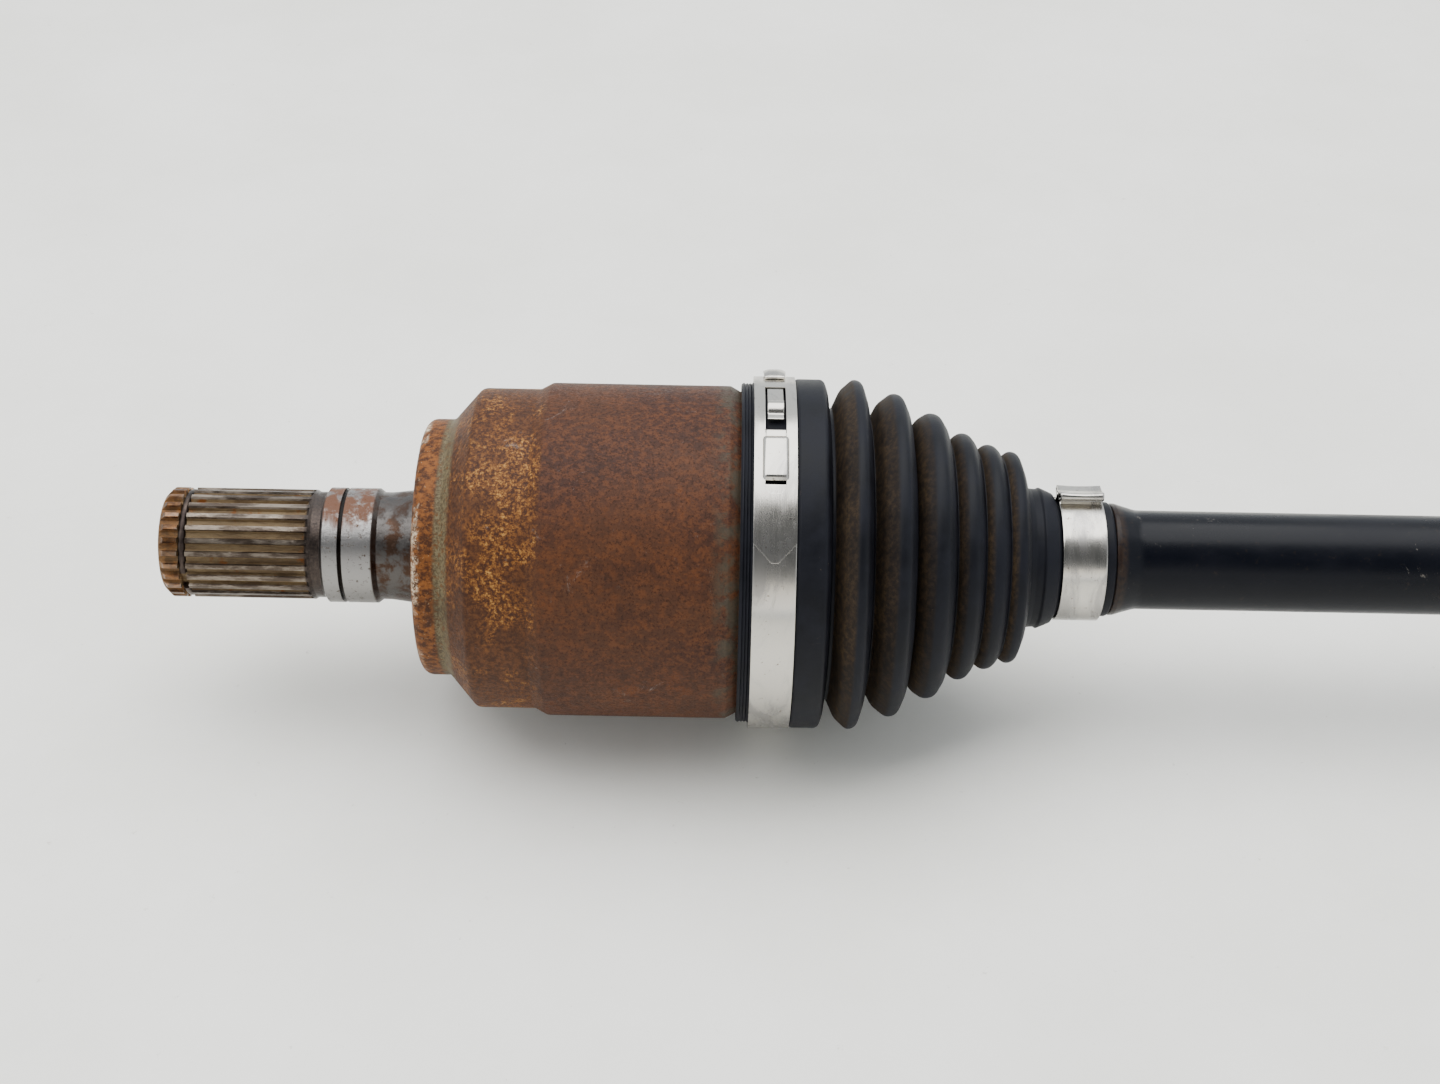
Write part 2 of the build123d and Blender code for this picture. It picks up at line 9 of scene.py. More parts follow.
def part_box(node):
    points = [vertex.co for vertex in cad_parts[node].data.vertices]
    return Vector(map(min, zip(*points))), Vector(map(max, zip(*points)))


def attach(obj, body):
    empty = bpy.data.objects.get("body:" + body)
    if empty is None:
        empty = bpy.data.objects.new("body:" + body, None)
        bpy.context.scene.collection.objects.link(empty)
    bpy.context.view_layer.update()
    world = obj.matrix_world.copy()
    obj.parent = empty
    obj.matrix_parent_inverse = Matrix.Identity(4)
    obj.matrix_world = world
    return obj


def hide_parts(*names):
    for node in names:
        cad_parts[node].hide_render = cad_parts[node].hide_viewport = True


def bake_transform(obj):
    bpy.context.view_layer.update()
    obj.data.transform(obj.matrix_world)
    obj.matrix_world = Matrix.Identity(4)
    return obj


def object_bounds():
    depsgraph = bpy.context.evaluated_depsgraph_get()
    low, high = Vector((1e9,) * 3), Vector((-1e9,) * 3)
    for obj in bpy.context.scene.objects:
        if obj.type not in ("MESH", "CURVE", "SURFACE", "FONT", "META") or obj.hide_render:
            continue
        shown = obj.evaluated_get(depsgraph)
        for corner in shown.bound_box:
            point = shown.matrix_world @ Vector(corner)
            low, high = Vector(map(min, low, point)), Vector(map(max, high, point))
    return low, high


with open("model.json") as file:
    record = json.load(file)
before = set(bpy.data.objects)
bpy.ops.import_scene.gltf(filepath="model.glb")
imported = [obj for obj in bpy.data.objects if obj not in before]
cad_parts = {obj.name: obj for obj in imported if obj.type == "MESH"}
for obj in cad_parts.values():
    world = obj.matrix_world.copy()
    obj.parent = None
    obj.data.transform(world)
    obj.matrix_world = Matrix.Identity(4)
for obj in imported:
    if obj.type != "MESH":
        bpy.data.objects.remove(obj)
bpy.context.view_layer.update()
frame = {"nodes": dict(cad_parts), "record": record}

MM = 0.001                  # outlines are written in millimetres, objects are in metres
FRONT_VIEW = 40.0           # the camera's height over the axle, in degrees


# ---------------------------------------------------------------- places read from the frame

def span(node):
    """A node's lowest and highest corners, in millimetres."""
    low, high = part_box(node)
    return Vector(low) / MM, Vector(high) / MM


# ---------------------------------------------------------------- meshes

CORNER_REACH = 0.48         # share of an outline's leg that a rounding may take
STRAIGHT = 89.0             # half angle, in degrees, past which a corner counts as straight
SHEET_BEVEL = 0.12
BEVEL_ANGLE = 50.0          # edges flatter than this, in degrees, aren't bevelled


def arc_corner(before, corner, after, rounding, steps):
    """Points of the arc that rounds one corner of an outline."""
    a, c, b = Vector(before), Vector(corner), Vector(after)
    to_a, to_b = (a - c), (b - c)
    reach = CORNER_REACH * min(to_a.length, to_b.length)
    to_a.normalize()
    to_b.normalize()
    half = to_a.angle(to_b) / 2
    if rounding <= 0 or half > radians(STRAIGHT):
        return [tuple(c)]
    cut = min(rounding / tan(half), reach)
    start, end = c + to_a * cut, c + to_b * cut
    points = []
    for step in range(steps + 1):
        t = step / steps
        points.append(tuple(start.lerp(c, t).lerp(c.lerp(end, t), t)))
    return points


def rounded(points, steps=6):
    """An open outline of (along, radius, rounding) points with its corners rounded."""
    path = [points[0][:2]]
    for before, corner, after in zip(points, points[1:], points[2:]):
        path += arc_corner(before[:2], corner[:2], after[:2], corner[2], steps)
    return path + [points[-1][:2]]


def new_mesh(name, vertices, faces, material):
    """A smooth piece that remembers its rest places, so that its look bends with it."""
    data = bpy.data.meshes.new(name)
    data.from_pydata(vertices, [], faces)
    data.validate()
    data.update()
    data.polygons.foreach_set("use_smooth", [True] * len(data.polygons))
    data.materials.append(material)
    piece = bpy.data.objects.new(name, data)
    bpy.context.scene.collection.objects.link(piece)
    rest = data.attributes.new("rest", "FLOAT_VECTOR", "POINT")
    rest.data.foreach_set("vector", [c for v in vertices for c in v])
    return piece


def turned(name, loop, material, segments=240):
    """A closed outline of (along, radius) millimetre points turned about the axle."""
    count = len(loop)
    vertices, faces = [], []
    for turn in range(segments):
        angle = 2 * pi * turn / segments
        for along, radius in loop:
            vertices.append((along * MM, radius * cos(angle) * MM, radius * sin(angle) * MM))
    for turn in range(segments):
        here, there = turn * count, (turn + 1) % segments * count
        for k in range(count):
            m = (k + 1) % count
            faces.append((here + k, here + m, there + m, there + k))
    return new_mesh(name, vertices, faces, material)


def round_place(along, radius, angle):
    """A point at an angle from the front (-Y) towards the top, in metres."""
    return (along * MM, -radius * cos(radians(angle)) * MM, radius * sin(radians(angle)) * MM)


def patch(name, material, along, angles, radius_at, kept, thickness, bevel=SHEET_BEVEL):
    """A curved sheet round the axle: a grid of places along and round it, with openings."""
    columns, rows = len(along), len(angles)
    vertices = [round_place(x, radius_at(x, angle), angle) for angle in angles for x in along]
    faces = []
    for row in range(rows - 1):
        for column in range(columns - 1):
            x = (along[column] + along[column + 1]) / 2
            angle = (angles[row] + angles[row + 1]) / 2
            if kept and not kept(x, angle):
                continue
            corner = row * columns + column
            faces.append((corner, corner + columns, corner + columns + 1, corner + 1))
    piece = new_mesh(name, vertices, faces, material)
    thicken(piece, thickness, bevel)
    return piece


def drop_loose(piece):
    """Removes the grid points that no face uses."""
    work = bmesh.new()
    work.from_mesh(piece.data)
    loose = [v for v in work.verts if not v.link_faces]
    bmesh.ops.delete(work, geom=loose, context="VERTS")
    work.to_mesh(piece.data)
    work.free()


def thicken(piece, thickness, bevel):
    """Gives a sheet its thickness, inwards, and softens its edges."""
    drop_loose(piece)
    solid = piece.modifiers.new("thickness", "SOLIDIFY")
    solid.thickness = thickness * MM
    solid.offset = -1
    if bevel:
        edge = piece.modifiers.new("edges", "BEVEL")
        edge.width = bevel * MM
        edge.segments = 2
        edge.limit_method = "ANGLE"
        edge.angle_limit = radians(BEVEL_ANGLE)


def clamped(value):
    return max(0.0, min(1.0, value))


def spread(low, high, step):
    """Evenly spaced values from low to high, about step apart."""
    count = max(2, round((high - low) / step) + 1)
    return [low + (high - low) * k / (count - 1) for k in range(count)]


# ---------------------------------------------------------------- material helpers

class Look:
    """A material's node tree, with short calls for the nodes that the looks share."""

    def __init__(self, name, place="object"):
        self.material = bpy.data.materials.new(name)
        self.material.use_nodes = True
        self.tree = self.material.node_tree
        self.shader = self.tree.nodes["Principled BSDF"]
        if place == "rest":
            node = self.node("ShaderNodeAttribute")
            node.attribute_name = "rest"
            self.place = node.outputs["Vector"]
        else:
            self.place = self.node("ShaderNodeTexCoord").outputs["Object"]
        split = self.node("ShaderNodeSeparateXYZ")
        self.join(self.place, split.inputs[0])
        self.x, self.y, self.z = split.outputs
        square = self.math("ADD", self.math("MULTIPLY", self.y, self.y),
                           self.math("MULTIPLY", self.z, self.z))
        self.radius = self.math("SQRT", square)

    def node(self, kind):
        return self.tree.nodes.new(kind)

    def join(self, source, target):
        if isinstance(source, bpy.types.NodeSocket):
            self.tree.links.new(source, target)
        else:
            target.default_value = source

    def math(self, operation, first, second=0.0):
        node = self.node("ShaderNodeMath")
        node.operation = operation
        self.join(first, node.inputs[0])
        self.join(second, node.inputs[1])
        return node.outputs[0]

    def noise(self, scale, detail=4.0, rough=0.55, stretch=(1, 1, 1), twist=0.0, shift=0.0):
        """Noise whose grain is scale per metre. stretch squeezes it along each axis."""
        move = self.node("ShaderNodeMapping")
        move.inputs["Scale"].default_value = stretch
        move.inputs["Location"].default_value = (shift, shift, shift)
        self.join(self.place, move.inputs["Vector"])
        node = self.node("ShaderNodeTexNoise")
        self.join(move.outputs[0], node.inputs["Vector"])
        node.inputs["Scale"].default_value = scale
        node.inputs["Detail"].default_value = detail
        node.inputs["Roughness"].default_value = rough
        node.inputs["Distortion"].default_value = twist
        return node.outputs["Fac"]

    def remap(self, value, low, high, start=0.0, end=1.0):
        node = self.node("ShaderNodeMapRange")
        node.interpolation_type = "SMOOTHSTEP"
        self.join(value, node.inputs["Value"])
        node.inputs["From Min"].default_value = low
        node.inputs["From Max"].default_value = high
        node.inputs["To Min"].default_value = start
        node.inputs["To Max"].default_value = end
        return node.outputs["Result"]

    def zone(self, low, high, soft, wander=None):
        """1 between two places along the axle, in millimetres, with soft ends."""
        along = self.x
        if wander is not None:
            along = self.math("ADD", along, self.math("MULTIPLY", wander, 2 * soft * MM))
            low, high = low + soft, high + soft
        rise = self.remap(along, (low - soft) * MM, (low + soft) * MM)
        fall = self.remap(along, (high - soft) * MM, (high + soft) * MM, 1.0, 0.0)
        return self.math("MULTIPLY", rise, fall)

    def mix(self, share, first, second):
        node = self.node("ShaderNodeMix")
        node.data_type = "RGBA"
        self.join(share, node.inputs["Factor"])
        self.join(first, node.inputs["A"])
        self.join(second, node.inputs["B"])
        return node.outputs["Result"]

    def blend(self, share, first, second):
        node = self.node("ShaderNodeMix")
        self.join(share, node.inputs["Factor"])
        self.join(first, node.inputs["A"])
        self.join(second, node.inputs["B"])
        return node.outputs["Result"]

    def bump(self, height, depth, previous=None, strength=1.0):
        """Relief of the given depth in millimetres."""
        node = self.node("ShaderNodeBump")
        node.inputs["Strength"].default_value = strength
        node.inputs["Distance"].default_value = depth * MM
        self.join(height, node.inputs["Height"])
        if previous is not None:
            self.join(previous, node.inputs["Normal"])
        return node.outputs["Normal"]

    def attribute(self, name):
        node = self.node("ShaderNodeAttribute")
        node.attribute_name = name
        return node.outputs["Fac"]

    def finish(self, colour, roughness, metallic=0.0, normal=None, **constants):
        self.join(colour, self.shader.inputs["Base Color"])
        self.join(roughness, self.shader.inputs["Roughness"])
        self.join(metallic, self.shader.inputs["Metallic"])
        if normal is not None:
            self.join(normal, self.shader.inputs["Normal"])
        for name, value in constants.items():
            self.shader.inputs[name.replace("_", " ")].default_value = value
        return self.material


def tint(red, green, blue):
    """A colour from its 0 to 255 display values."""
    return tuple(pow(value / 255, 2.2) for value in (red, green, blue)) + (1.0,)


# ---------------------------------------------------------------- materials

# Places along the housing, from the middle of the journal.
SPLINE_START, SPLINE_END = -60.0, -10.6
SPLINE_RUSTY_END = -42.0    # the teeth outside this are the rustier ones
NECK_START, NECK_END = -11.0, -6.4
GROOVE_START, GROOVE_END = -2.3, -1.2
JOURNAL_END = 6.0
BOSS = 18.45                # the boss's near face
BOSS_END = BOSS + 5.6
REAR = BOSS + 8.5           # where the cone and rear cylinder start
CORNER_END = BOSS + 9.0     # the end of the dirty corner under the cone
BODY = BOSS + 31.4          # where the main body of the housing starts
SEAT = BOSS + 78.5          # where the boot starts
BEYOND = 200.0              # further along than the end of either stub
BELL_STUB = 74.0            # length of the wheel-side stub
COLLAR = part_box("inner_small_band")[1][0] / MM + 2.6      # where the bar starts
SPLINE_TIP = 13.45          # radius over which a spline tooth is worn bright


def housing_look():
    """Rust over machined steel, with a ground journal and a dusty spline."""
    look = Look("rusted_forging")
    grain = look.noise(1500, 8, 0.75, shift=1.0)
    speckle = look.noise(620, 9, 0.78, stretch=(0.8, 1, 1), shift=5.0)
    blotch = look.noise(150, 8, 0.68, twist=0.3)
    wide = look.noise(34, 6, 0.6, stretch=(0.6, 1, 1), shift=3.0)
    uneven = look.noise(60, 4, 0.6, stretch=(6, 1, 1), shift=7.0)
    # the body: an even red brown with a fine grain, small orange patches and darker flecks
    body = look.mix(look.remap(wide, 0.36, 0.64), tint(58, 37, 29), tint(72, 47, 33))
    body = look.mix(look.math("MULTIPLY", look.remap(speckle, 0.45, 0.58), 0.7), body,
                    tint(92, 56, 34))
    body = look.mix(look.math("MULTIPLY", look.math("MULTIPLY", look.remap(blotch, 0.55, 0.7),
                                                    look.remap(grain, 0.42, 0.6)), 0.8), body,
                    tint(114, 66, 34))
    body = look.mix(look.math("MULTIPLY", look.remap(grain, 0.5, 0.62), 0.7), body,
                    tint(40, 27, 22))
    # the rear cylinder and cone: brown, with drifts of fine yellow and orange specks
    drift = look.noise(85, 7, 0.7, twist=0.4, shift=27.0)
    dense = look.math("ADD", drift, look.remap(look.z, -10 * MM, 34 * MM, 0.0, 0.07))
    specks = look.noise(1000, 9, 0.8, shift=33.0)
    rear = look.mix(look.remap(specks, 0.42, 0.6), tint(58, 37, 26), tint(88, 56, 34))
    fleck = look.math("MULTIPLY", look.remap(dense, 0.48, 0.64), look.remap(specks, 0.46, 0.56))
    rear = look.mix(fleck, rear, tint(118, 74, 36))
    fleck = look.math("MULTIPLY", look.remap(dense, 0.53, 0.66), look.remap(specks, 0.53, 0.62))
    rear = look.mix(fleck, rear, tint(168, 126, 70))
    colour = look.mix(look.zone(REAR, BODY - 0.5, 0.9, grain), body, rear)
    # the boss: deep orange rust with pale flecks, and painted highlights: bright flecks along its
    # edge where the rim catches the light
    boss = look.mix(look.remap(speckle, 0.42, 0.6), tint(62, 38, 24), tint(124, 76, 38))
    boss = look.mix(look.remap(grain, 0.6, 0.68), boss, tint(176, 150, 118))
    # painted highlight: this edge mask puts bright glints along the boss's rim
    edge = look.math("MULTIPLY", look.zone(BOSS + 0.2, BOSS + 2.0, 0.5, speckle),
                     look.remap(drift, 0.5, 0.6))
    boss = look.mix(look.math("MULTIPLY", edge, look.remap(specks, 0.45, 0.55)), boss,
                    tint(196, 176, 150))
    colour = look.mix(look.zone(BOSS - 2.0, BOSS_END, 0.5, grain), colour, boss)
    # the dirty grey green band in the corner under the cone
    band = look.mix(look.remap(grain, 0.4, 0.62), tint(70, 62, 46), tint(118, 108, 82))
    band = look.mix(look.remap(speckle, 0.52, 0.62), band, tint(92, 62, 36))
    band_zone = look.zone(BOSS_END, CORNER_END, 0.6, speckle)
    colour = look.mix(look.math("MULTIPLY", band_zone, 0.85), colour, band)
    # patchy green grey stain beside the boot
    stain = look.math("MULTIPLY", look.zone(SEAT - 5.0, SEAT + 4.0, 2.4, blotch),
                      look.remap(blotch, 0.42, 0.58))
    colour = look.mix(look.math("MULTIPLY", stain, 0.7), colour, tint(62, 62, 53))
    # pale scuffs and darker shadows in the rust
    scuff = look.noise(80, 12, 0.85, twist=1.2, shift=21.0)
    scuff = look.math("MULTIPLY", look.remap(scuff, 0.595, 0.66),
                      look.remap(speckle, 0.35, 0.6))
    colour = look.mix(look.math("MULTIPLY", scuff, 0.6), colour, tint(128, 122, 118))
    shade = look.remap(look.noise(70, 6, 0.6, shift=15.0), 0.5, 0.7)
    colour = look.mix(look.math("MULTIPLY", shade, 0.35), colour, tint(40, 29, 25))
    # the stub: ground journal, dark neck, relief with rust, and the spline
    stub = look.zone(-BEYOND, BOSS - 0.6, 0.3)
    pits = look.remap(look.noise(900, 6, 0.7, shift=2.0), 0.57, 0.66)
    steel = look.mix(pits, tint(136, 134, 132), tint(76, 66, 58))
    rust_side = look.remap(look.math("ADD", look.z, look.math("MULTIPLY", uneven, 5 * MM)),
                           14.2 * MM, 16.2 * MM, 0.0, 0.9)
    rust_side = look.math("MULTIPLY", rust_side, look.remap(blotch, 0.4, 0.54))
    steel = look.mix(rust_side, steel, tint(96, 60, 38))
    relief = look.mix(look.remap(blotch, 0.46, 0.58), tint(80, 77, 75), tint(64, 50, 42))
    steel = look.mix(look.zone(JOURNAL_END, BOSS, 0.4), steel, relief)
    neck = look.mix(look.remap(grain, 0.35, 0.7), tint(54, 49, 47), tint(74, 66, 61))
    steel = look.mix(look.zone(NECK_START, NECK_END, 0.3), steel, neck)
    tooth = look.remap(look.radius, (SPLINE_TIP - 0.25) * MM, SPLINE_TIP * MM)
    streak = look.noise(300, 9, 0.75, stretch=(0.25, 1, 1))
    gap = look.mix(look.remap(streak, 0.38, 0.62), tint(84, 68, 50), tint(118, 100, 74))
    gap = look.mix(look.remap(blotch, 0.56, 0.66), gap, tint(108, 66, 32))
    worn = look.mix(look.remap(streak, 0.44, 0.58), tint(74, 65, 58), tint(124, 114, 103))
    spline = look.mix(tooth, gap, worn)
    tip = look.mix(look.remap(speckle, 0.45, 0.58), tint(84, 54, 32), tint(132, 88, 48))
    rusty_end = look.zone(SPLINE_START, SPLINE_RUSTY_END, 0.6, streak)
    spline = look.mix(look.math("MULTIPLY", rusty_end, 0.55), spline, tip)
    spline_zone = look.zone(SPLINE_START, SPLINE_END, 0.4)
    steel = look.mix(spline_zone, steel, spline)
    colour = look.mix(stub, colour, steel)
    # painted shade: the journal's groove is coloured nearly black, as shade in the recess
    colour = look.mix(look.zone(GROOVE_START, GROOVE_END, 0.12), colour, tint(26, 23, 21))
    # bright metal only on the journal, the relief and the tips of the teeth
    clean = look.math("MULTIPLY", stub, look.math("SUBTRACT", 1.0, rust_side))
    not_gap = look.math("SUBTRACT", 1.0, look.math("MULTIPLY", spline_zone,
                                                   look.math("SUBTRACT", 1.0, tooth)))
    metallic = look.math("MULTIPLY", look.math("MULTIPLY", clean, not_gap),
                         look.math("SUBTRACT", 1.0, look.math("MULTIPLY", pits, 0.6)))
    rusty = look.remap(grain, 0.3, 0.7, 0.46, 0.7)
    roughness = look.blend(metallic, rusty, look.remap(pits, 0.0, 1.0, 0.32, 0.52))
    rings = look.noise(2600, 2, 0.5, stretch=(1, 0.02, 0.02), shift=9.0)
    normal = look.bump(rings, 0.03)
    normal = look.bump(speckle, 0.12, normal, 0.6)
    normal = look.bump(grain, 0.1, normal, 0.7)
    return look.finish(colour, roughness, metallic, normal, Specular_IOR_Level=0.16)


def bell_look():
    """Machined steel going brown, for the end that the wheel hub takes."""
    look = Look("machined_forging")
    blotch = look.noise(140, 8, 0.62, twist=0.4, shift=4.0)
    grain = look.noise(480, 8, 0.7, shift=6.0)
    rings = look.noise(2200, 3, 0.5, stretch=(1, 0.02, 0.02))
    rust = look.remap(blotch, 0.4, 0.62)
    colour = look.mix(rust, tint(84, 76, 70), tint(74, 50, 38))
    colour = look.mix(look.remap(grain, 0.56, 0.7), colour, tint(112, 72, 42))
    stub_start = span("outer_bell")[1].x - BELL_STUB
    stub = look.zone(stub_start, stub_start + BEYOND, 1.0)
    clean = look.mix(look.remap(grain, 0.45, 0.62), tint(126, 122, 117), tint(98, 88, 80))
    colour = look.mix(stub, colour, clean)
    metallic = look.math("MULTIPLY", look.math("SUBTRACT", 1.0, rust),
                         look.remap(stub, 0.0, 1.0, 0.45, 0.85))
    roughness = look.blend(metallic, look.remap(grain, 0.3, 0.7, 0.5, 0.7), 0.34)
    normal = look.bump(rings, 0.03)
    normal = look.bump(grain, 0.12, normal, 0.7)
    return look.finish(colour, roughness, metallic, normal)


def paint_look():
    """Satin black paint with chips, scuffs and a little dust."""
    look = Look("black_paint")
    fine = look.noise(900, 6, 0.6)
    cloud = look.noise(60, 6, 0.6, stretch=(0.5, 1, 1), shift=2.0)
    colour = look.mix(look.remap(cloud, 0.4, 0.65), tint(14, 16, 22), tint(19, 20, 26))
    chips = look.noise(210, 9, 0.8, twist=0.8, shift=13.0)
    chips = look.math("MULTIPLY", look.remap(chips, 0.62, 0.66),
                      look.remap(look.noise(30, 2, 0.5, shift=8.0), 0.46, 0.54))
    colour = look.mix(look.math("MULTIPLY", chips, 0.8), colour, tint(104, 99, 93))
    dust = look.noise(420, 8, 0.75, shift=17.0)
    colour = look.mix(look.math("MULTIPLY", look.remap(dust, 0.58, 0.72), 0.3), colour,
                      tint(60, 51, 41))
    collar = look.zone(COLLAR - 0.5, COLLAR + 2.6, 0.8, dust)
    colour = look.mix(look.math("MULTIPLY", collar, look.remap(fine, 0.3, 0.6, 0.2, 0.7)), colour,
                      tint(50, 39, 31))
    roughness = look.math("ADD", look.remap(cloud, 0.35, 0.65, 0.27, 0.38),
                          look.math("MULTIPLY", chips, 0.25))
    normal = look.bump(fine, 0.02)
    normal = look.bump(cloud, 0.1, normal, 0.4)
    return look.finish(colour, roughness, 0.0, normal, Specular_IOR_Level=0.14)


def rubber_look():
    """Matte black rubber, brown dust on the flanks that face the housing and in the folds."""
    look = Look("boot_rubber", "rest")
    fine = look.noise(2400, 4, 0.6)
    cloud = look.noise(90, 6, 0.6, shift=1.0)
    speck = look.noise(700, 8, 0.75, shift=4.0)
    colour = look.mix(look.remap(cloud, 0.35, 0.65), tint(18, 19, 24), tint(26, 27, 33))
    dust = look.attribute("dust")
    cover = look.math("MULTIPLY", dust, look.remap(cloud, 0.3, 0.7, 0.55, 1.0))
    cover = look.math("MULTIPLY", cover, look.remap(speck, 0.25, 0.6, 0.6, 1.0))
    earth = look.mix(look.remap(speck, 0.4, 0.65), tint(46, 38, 29), tint(66, 54, 40))
    colour = look.mix(cover, colour, earth)
    mark = look.math("MULTIPLY", look.remap(look.noise(330, 9, 0.8, twist=1.5, shift=31.0),
                                            0.64, 0.7),
                     look.remap(look.noise(26, 2, 0.5, shift=5.0), 0.5, 0.62))
    colour = look.mix(look.math("MULTIPLY", mark, 0.6), colour, tint(116, 101, 82))
    roughness = look.blend(cover, look.remap(cloud, 0.3, 0.7, 0.46, 0.58), 0.85)
    normal = look.bump(fine, 0.02)
    normal = look.bump(speck, 0.05, normal, 0.5)
    return look.finish(colour, roughness, 0.0, normal, Specular_IOR_Level=0.14)


def band_look():
    """Stainless strip, brushed along its length, with smears and dull spots."""
    look = Look("stainless_band")
    brush = look.noise(2600, 3, 0.6, stretch=(1, 0.03, 0.03))
    smear = look.noise(120, 7, 0.65, stretch=(1, 0.35, 0.35), twist=0.8, shift=3.0)
    spots = look.noise(800, 6, 0.7, shift=9.0)
    colour = look.mix(look.remap(smear, 0.42, 0.62), tint(190, 186, 178), tint(158, 155, 151))
    colour = look.mix(look.remap(spots, 0.62, 0.7), colour, tint(104, 92, 80))
    roughness = look.math("ADD", look.remap(smear, 0.35, 0.65, 0.14, 0.28),
                          look.math("MULTIPLY", brush, 0.06))
    normal = look.bump(brush, 0.02)
    normal = look.bump(smear, 0.08, normal, 0.35)
    return look.finish(colour, roughness, 1.0, normal)


def steel_look(name, dark, light, rough):
    """Plain steel of small hidden pieces, with a faint turned grain."""
    look = Look(name)
    grain = look.noise(1500, 4, 0.6)
    cloud = look.noise(160, 5, 0.6, shift=5.0)
    colour = look.mix(look.remap(cloud, 0.35, 0.65), tint(*dark), tint(*light))
    roughness = look.remap(grain, 0.3, 0.7, rough, rough + 0.12)
    return look.finish(colour, roughness, 1.0, look.bump(grain, 0.01))


rust = housing_look()
machined = bell_look()
paint = paint_look()
rubber = rubber_look()
stainless = band_look()
spring_steel = steel_look("spring_steel", (52, 46, 44), (84, 74, 68), 0.38)
hardened = steel_look("hardened_steel", (150, 148, 146), (176, 174, 170), 0.26)
polished = steel_look("bearing_steel", (196, 196, 196), (214, 214, 212), 0.1)
washer_steel = steel_look("washer_steel", (138, 132, 124), (166, 160, 152), 0.32)

SLOT_LOOKS = {
    "rusted_forging": rust,
    "machined_forging": machined,
    "black_paint": paint,
    "boot_rubber": rubber,
    "stainless_band": stainless,
    "spring_steel": spring_steel,
    "hardened_steel": hardened,
    "bearing_steel": polished,
    "washer_steel": washer_steel,
}


def dress_cad_nodes():
    """Every carried-over node takes the look of its material slot."""
    slots = {row["node"]: row["material_slot"] for row in frame["record"]["subparts"]}
    for node, piece in frame["nodes"].items():
        for place in piece.material_slots:
            place.material = SLOT_LOOKS[slots[node]]


# ---------------------------------------------------------------- boots

# Crest and following valley of each fold: place along the bellows as a share of its length, and
# height as a share of the rise from the small end to the cuff.
FOLDS = (
    (0.148, 1.01, 0.213, 0.615),
    (0.342, 0.885, 0.420, 0.535),
    (0.522, 0.705, 0.612, 0.41),
    (0.676, 0.52, 0.752, 0.33),
    (0.803, 0.415, 0.872, 0.28),
    (0.922, 0.355, 0.985, 0.03),
)
FIRST_VALLEY = (0.012, 0.73)
SPLIT_FOLD = 1              # the boot's two pieces meet in the valley after this fold
BELLOWS_END_RADIUS = 17.5
WALL = 1.6
LARGE_WALL_SHARE, SMALL_WALL_SHARE = 1.5, 1.3       # inside each piece's folds, over WALL
CUFF_LENGTH = {"inner_boot": 7.9, "outer_boot": 3.2}
BAND_DEPTH = 0.8            # from a large band's outside to the land that it sits on
SMALL_BAND_DEPTH = 0.7
CUFF_RISE = 1.1             # how far the cuff stands above the land
LAND_WALL = 2.3
SMALL_LAND_WALL = 2.0
NECK_LENGTH = 7.6           # from the last fold to the small band
LIP_RIDGES, RIDGE_STEP = 3, 0.75
CUFF_SHOULDER = 1.6         # the bore runs straight until this far before the bellows
DUST_ENDS = (-0.01, 0.99)   # share of the bellows between which dust lies
DUST_FACING, DUST_FADE = 0.3, 0.45      # how far a flank faces the large end to hold dust


def fold_points(bellows, length, rise, direction):
    """The folds' outside, each with a rounded sloping flank and a steep one.

    Also gives the place in this outline of the valley where the boot's two pieces meet.
    """

    def place(share, height, rounding):
        return (bellows + direction * share * length, BELLOWS_END_RADIUS + height * rise, rounding)

    low_share, low_height = FIRST_VALLEY[0] + 0.02, FIRST_VALLEY[1]
    points = [place(*FIRST_VALLEY, 0.5), place(low_share, low_height, 0.5)]
    split = None
    for number, (crest, top, valley, bottom) in enumerate(FOLDS):
        run, climb = crest - low_share, top - low_height
        fall, drop = valley - crest, top - bottom
        points.append(place(low_share + 0.35 * run, low_height + 0.62 * climb, 5.0))
        points.append(place(crest - 0.12 * run, top, 3.0))
        points.append(place(crest + 0.40 * fall, top - 0.06 * drop, 3.0))
        points.append(place(crest + 0.80 * fall, top - 0.45 * drop, 4.0))
        if number == SPLIT_FOLD:
            split = len(points)
        points.append(place(valley, bottom, 0.5))
        low_share, low_height = valley, bottom
    return points, split


def boot_dust(piece, bellows, length, direction):
    """Dust weight of each point: the flanks of the folds that face the large end."""
    weights = []
    for vertex in piece.data.vertices:
        along = (vertex.co.x / MM - bellows) * direction / length
        facing = -vertex.normal.x * direction
        flank = clamped((facing - DUST_FACING) / DUST_FADE)
        weights.append(flank if DUST_ENDS[0] < along < DUST_ENDS[1] else 0.0)
    dust = piece.data.attributes.new("dust", "FLOAT", "POINT")
    dust.data.foreach_set("value", weights)


